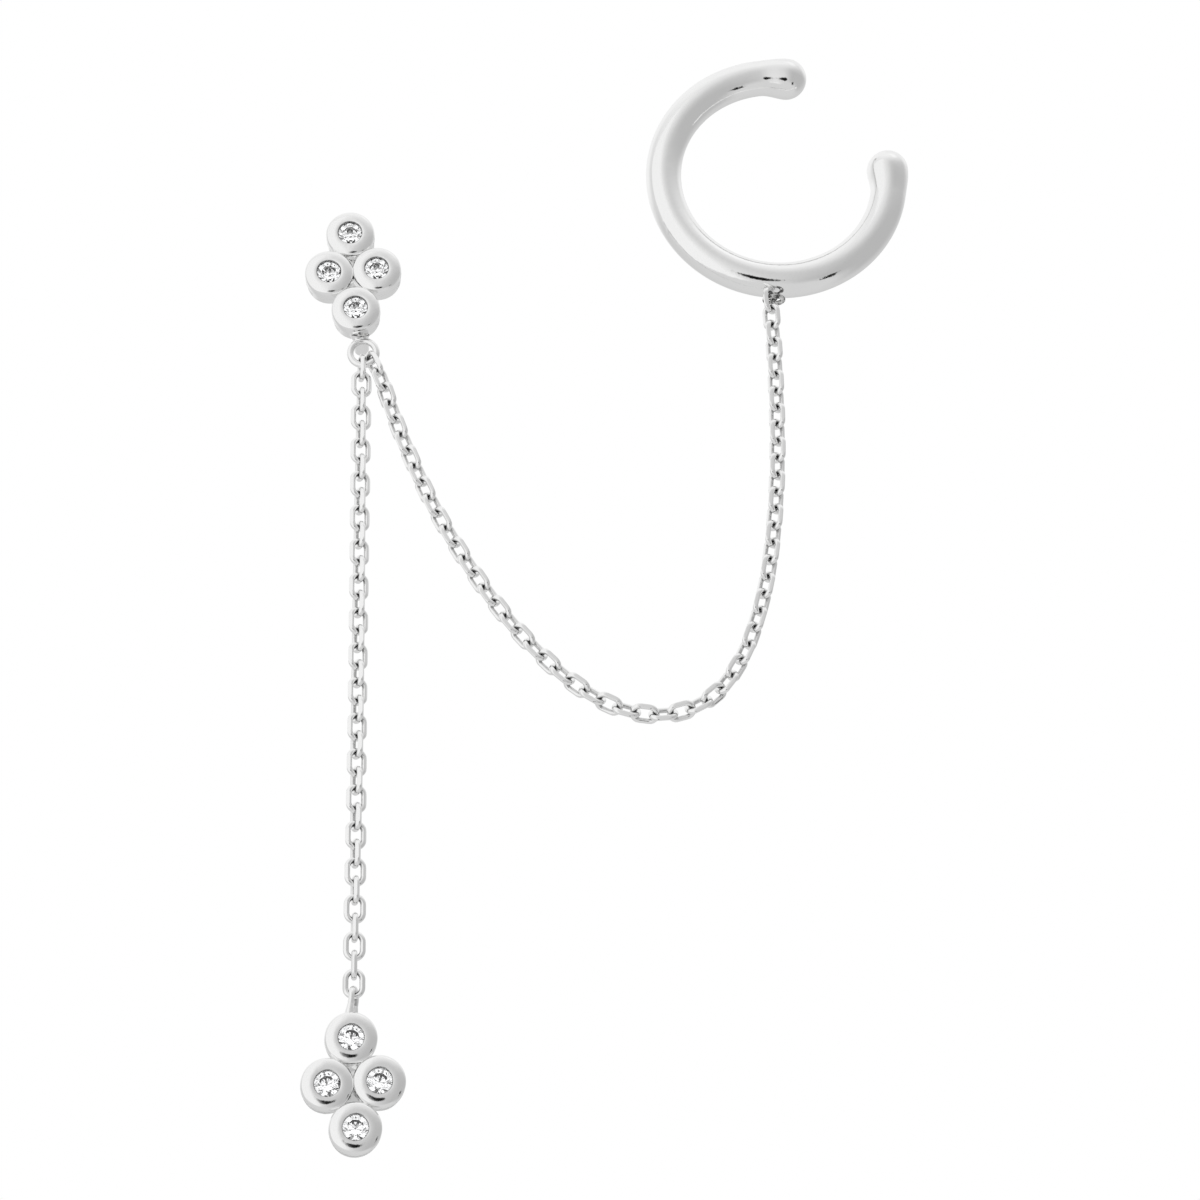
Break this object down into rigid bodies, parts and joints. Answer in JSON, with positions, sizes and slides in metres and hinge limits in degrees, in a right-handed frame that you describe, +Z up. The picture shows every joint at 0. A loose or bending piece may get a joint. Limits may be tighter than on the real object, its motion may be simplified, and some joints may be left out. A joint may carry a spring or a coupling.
{
  "type": "ear chain earring",
  "caption": "Stud of round bezel-set clear stones that carries a straight cable chain with a matching pendant and a draped cable chain to an open ear cuff.",
  "frame": {"origin": "middle of the stud's back, where the post enters the ear", "axes": "+X towards the ear cuff, +Y back into the ear along the post, +Z up"},
  "size_m": [0.0304, 0.01, 0.0559],
  "materials": {
    "silver": "polished",
    "chain_silver": "polished",
    "clear_stone": "polished"
  },
  "bodies": {
    "worn": {"stud_setting": "silver", "ear_post": "silver", "ear_cuff": "silver", "drape_chain": "chain_silver", "drop_chain": "chain_silver", "stud_stone_top": "clear_stone", "stud_stone_left": "clear_stone", "stud_stone_right": "clear_stone", "stud_stone_bottom": "clear_stone"},
    "pendant": {"drop_setting": "silver", "drop_stone_top": "clear_stone", "drop_stone_left": "clear_stone", "drop_stone_right": "clear_stone", "drop_stone_bottom": "clear_stone"}
  },
  "joints": [
    {"name": "pendant_swing", "type": "hinge", "parent": "worn", "child": "pendant", "pos_m": [0.00046, -0.00062, -0.0362], "axis": [1, 0, 0], "range_deg": [-80, 80]}
  ]
}
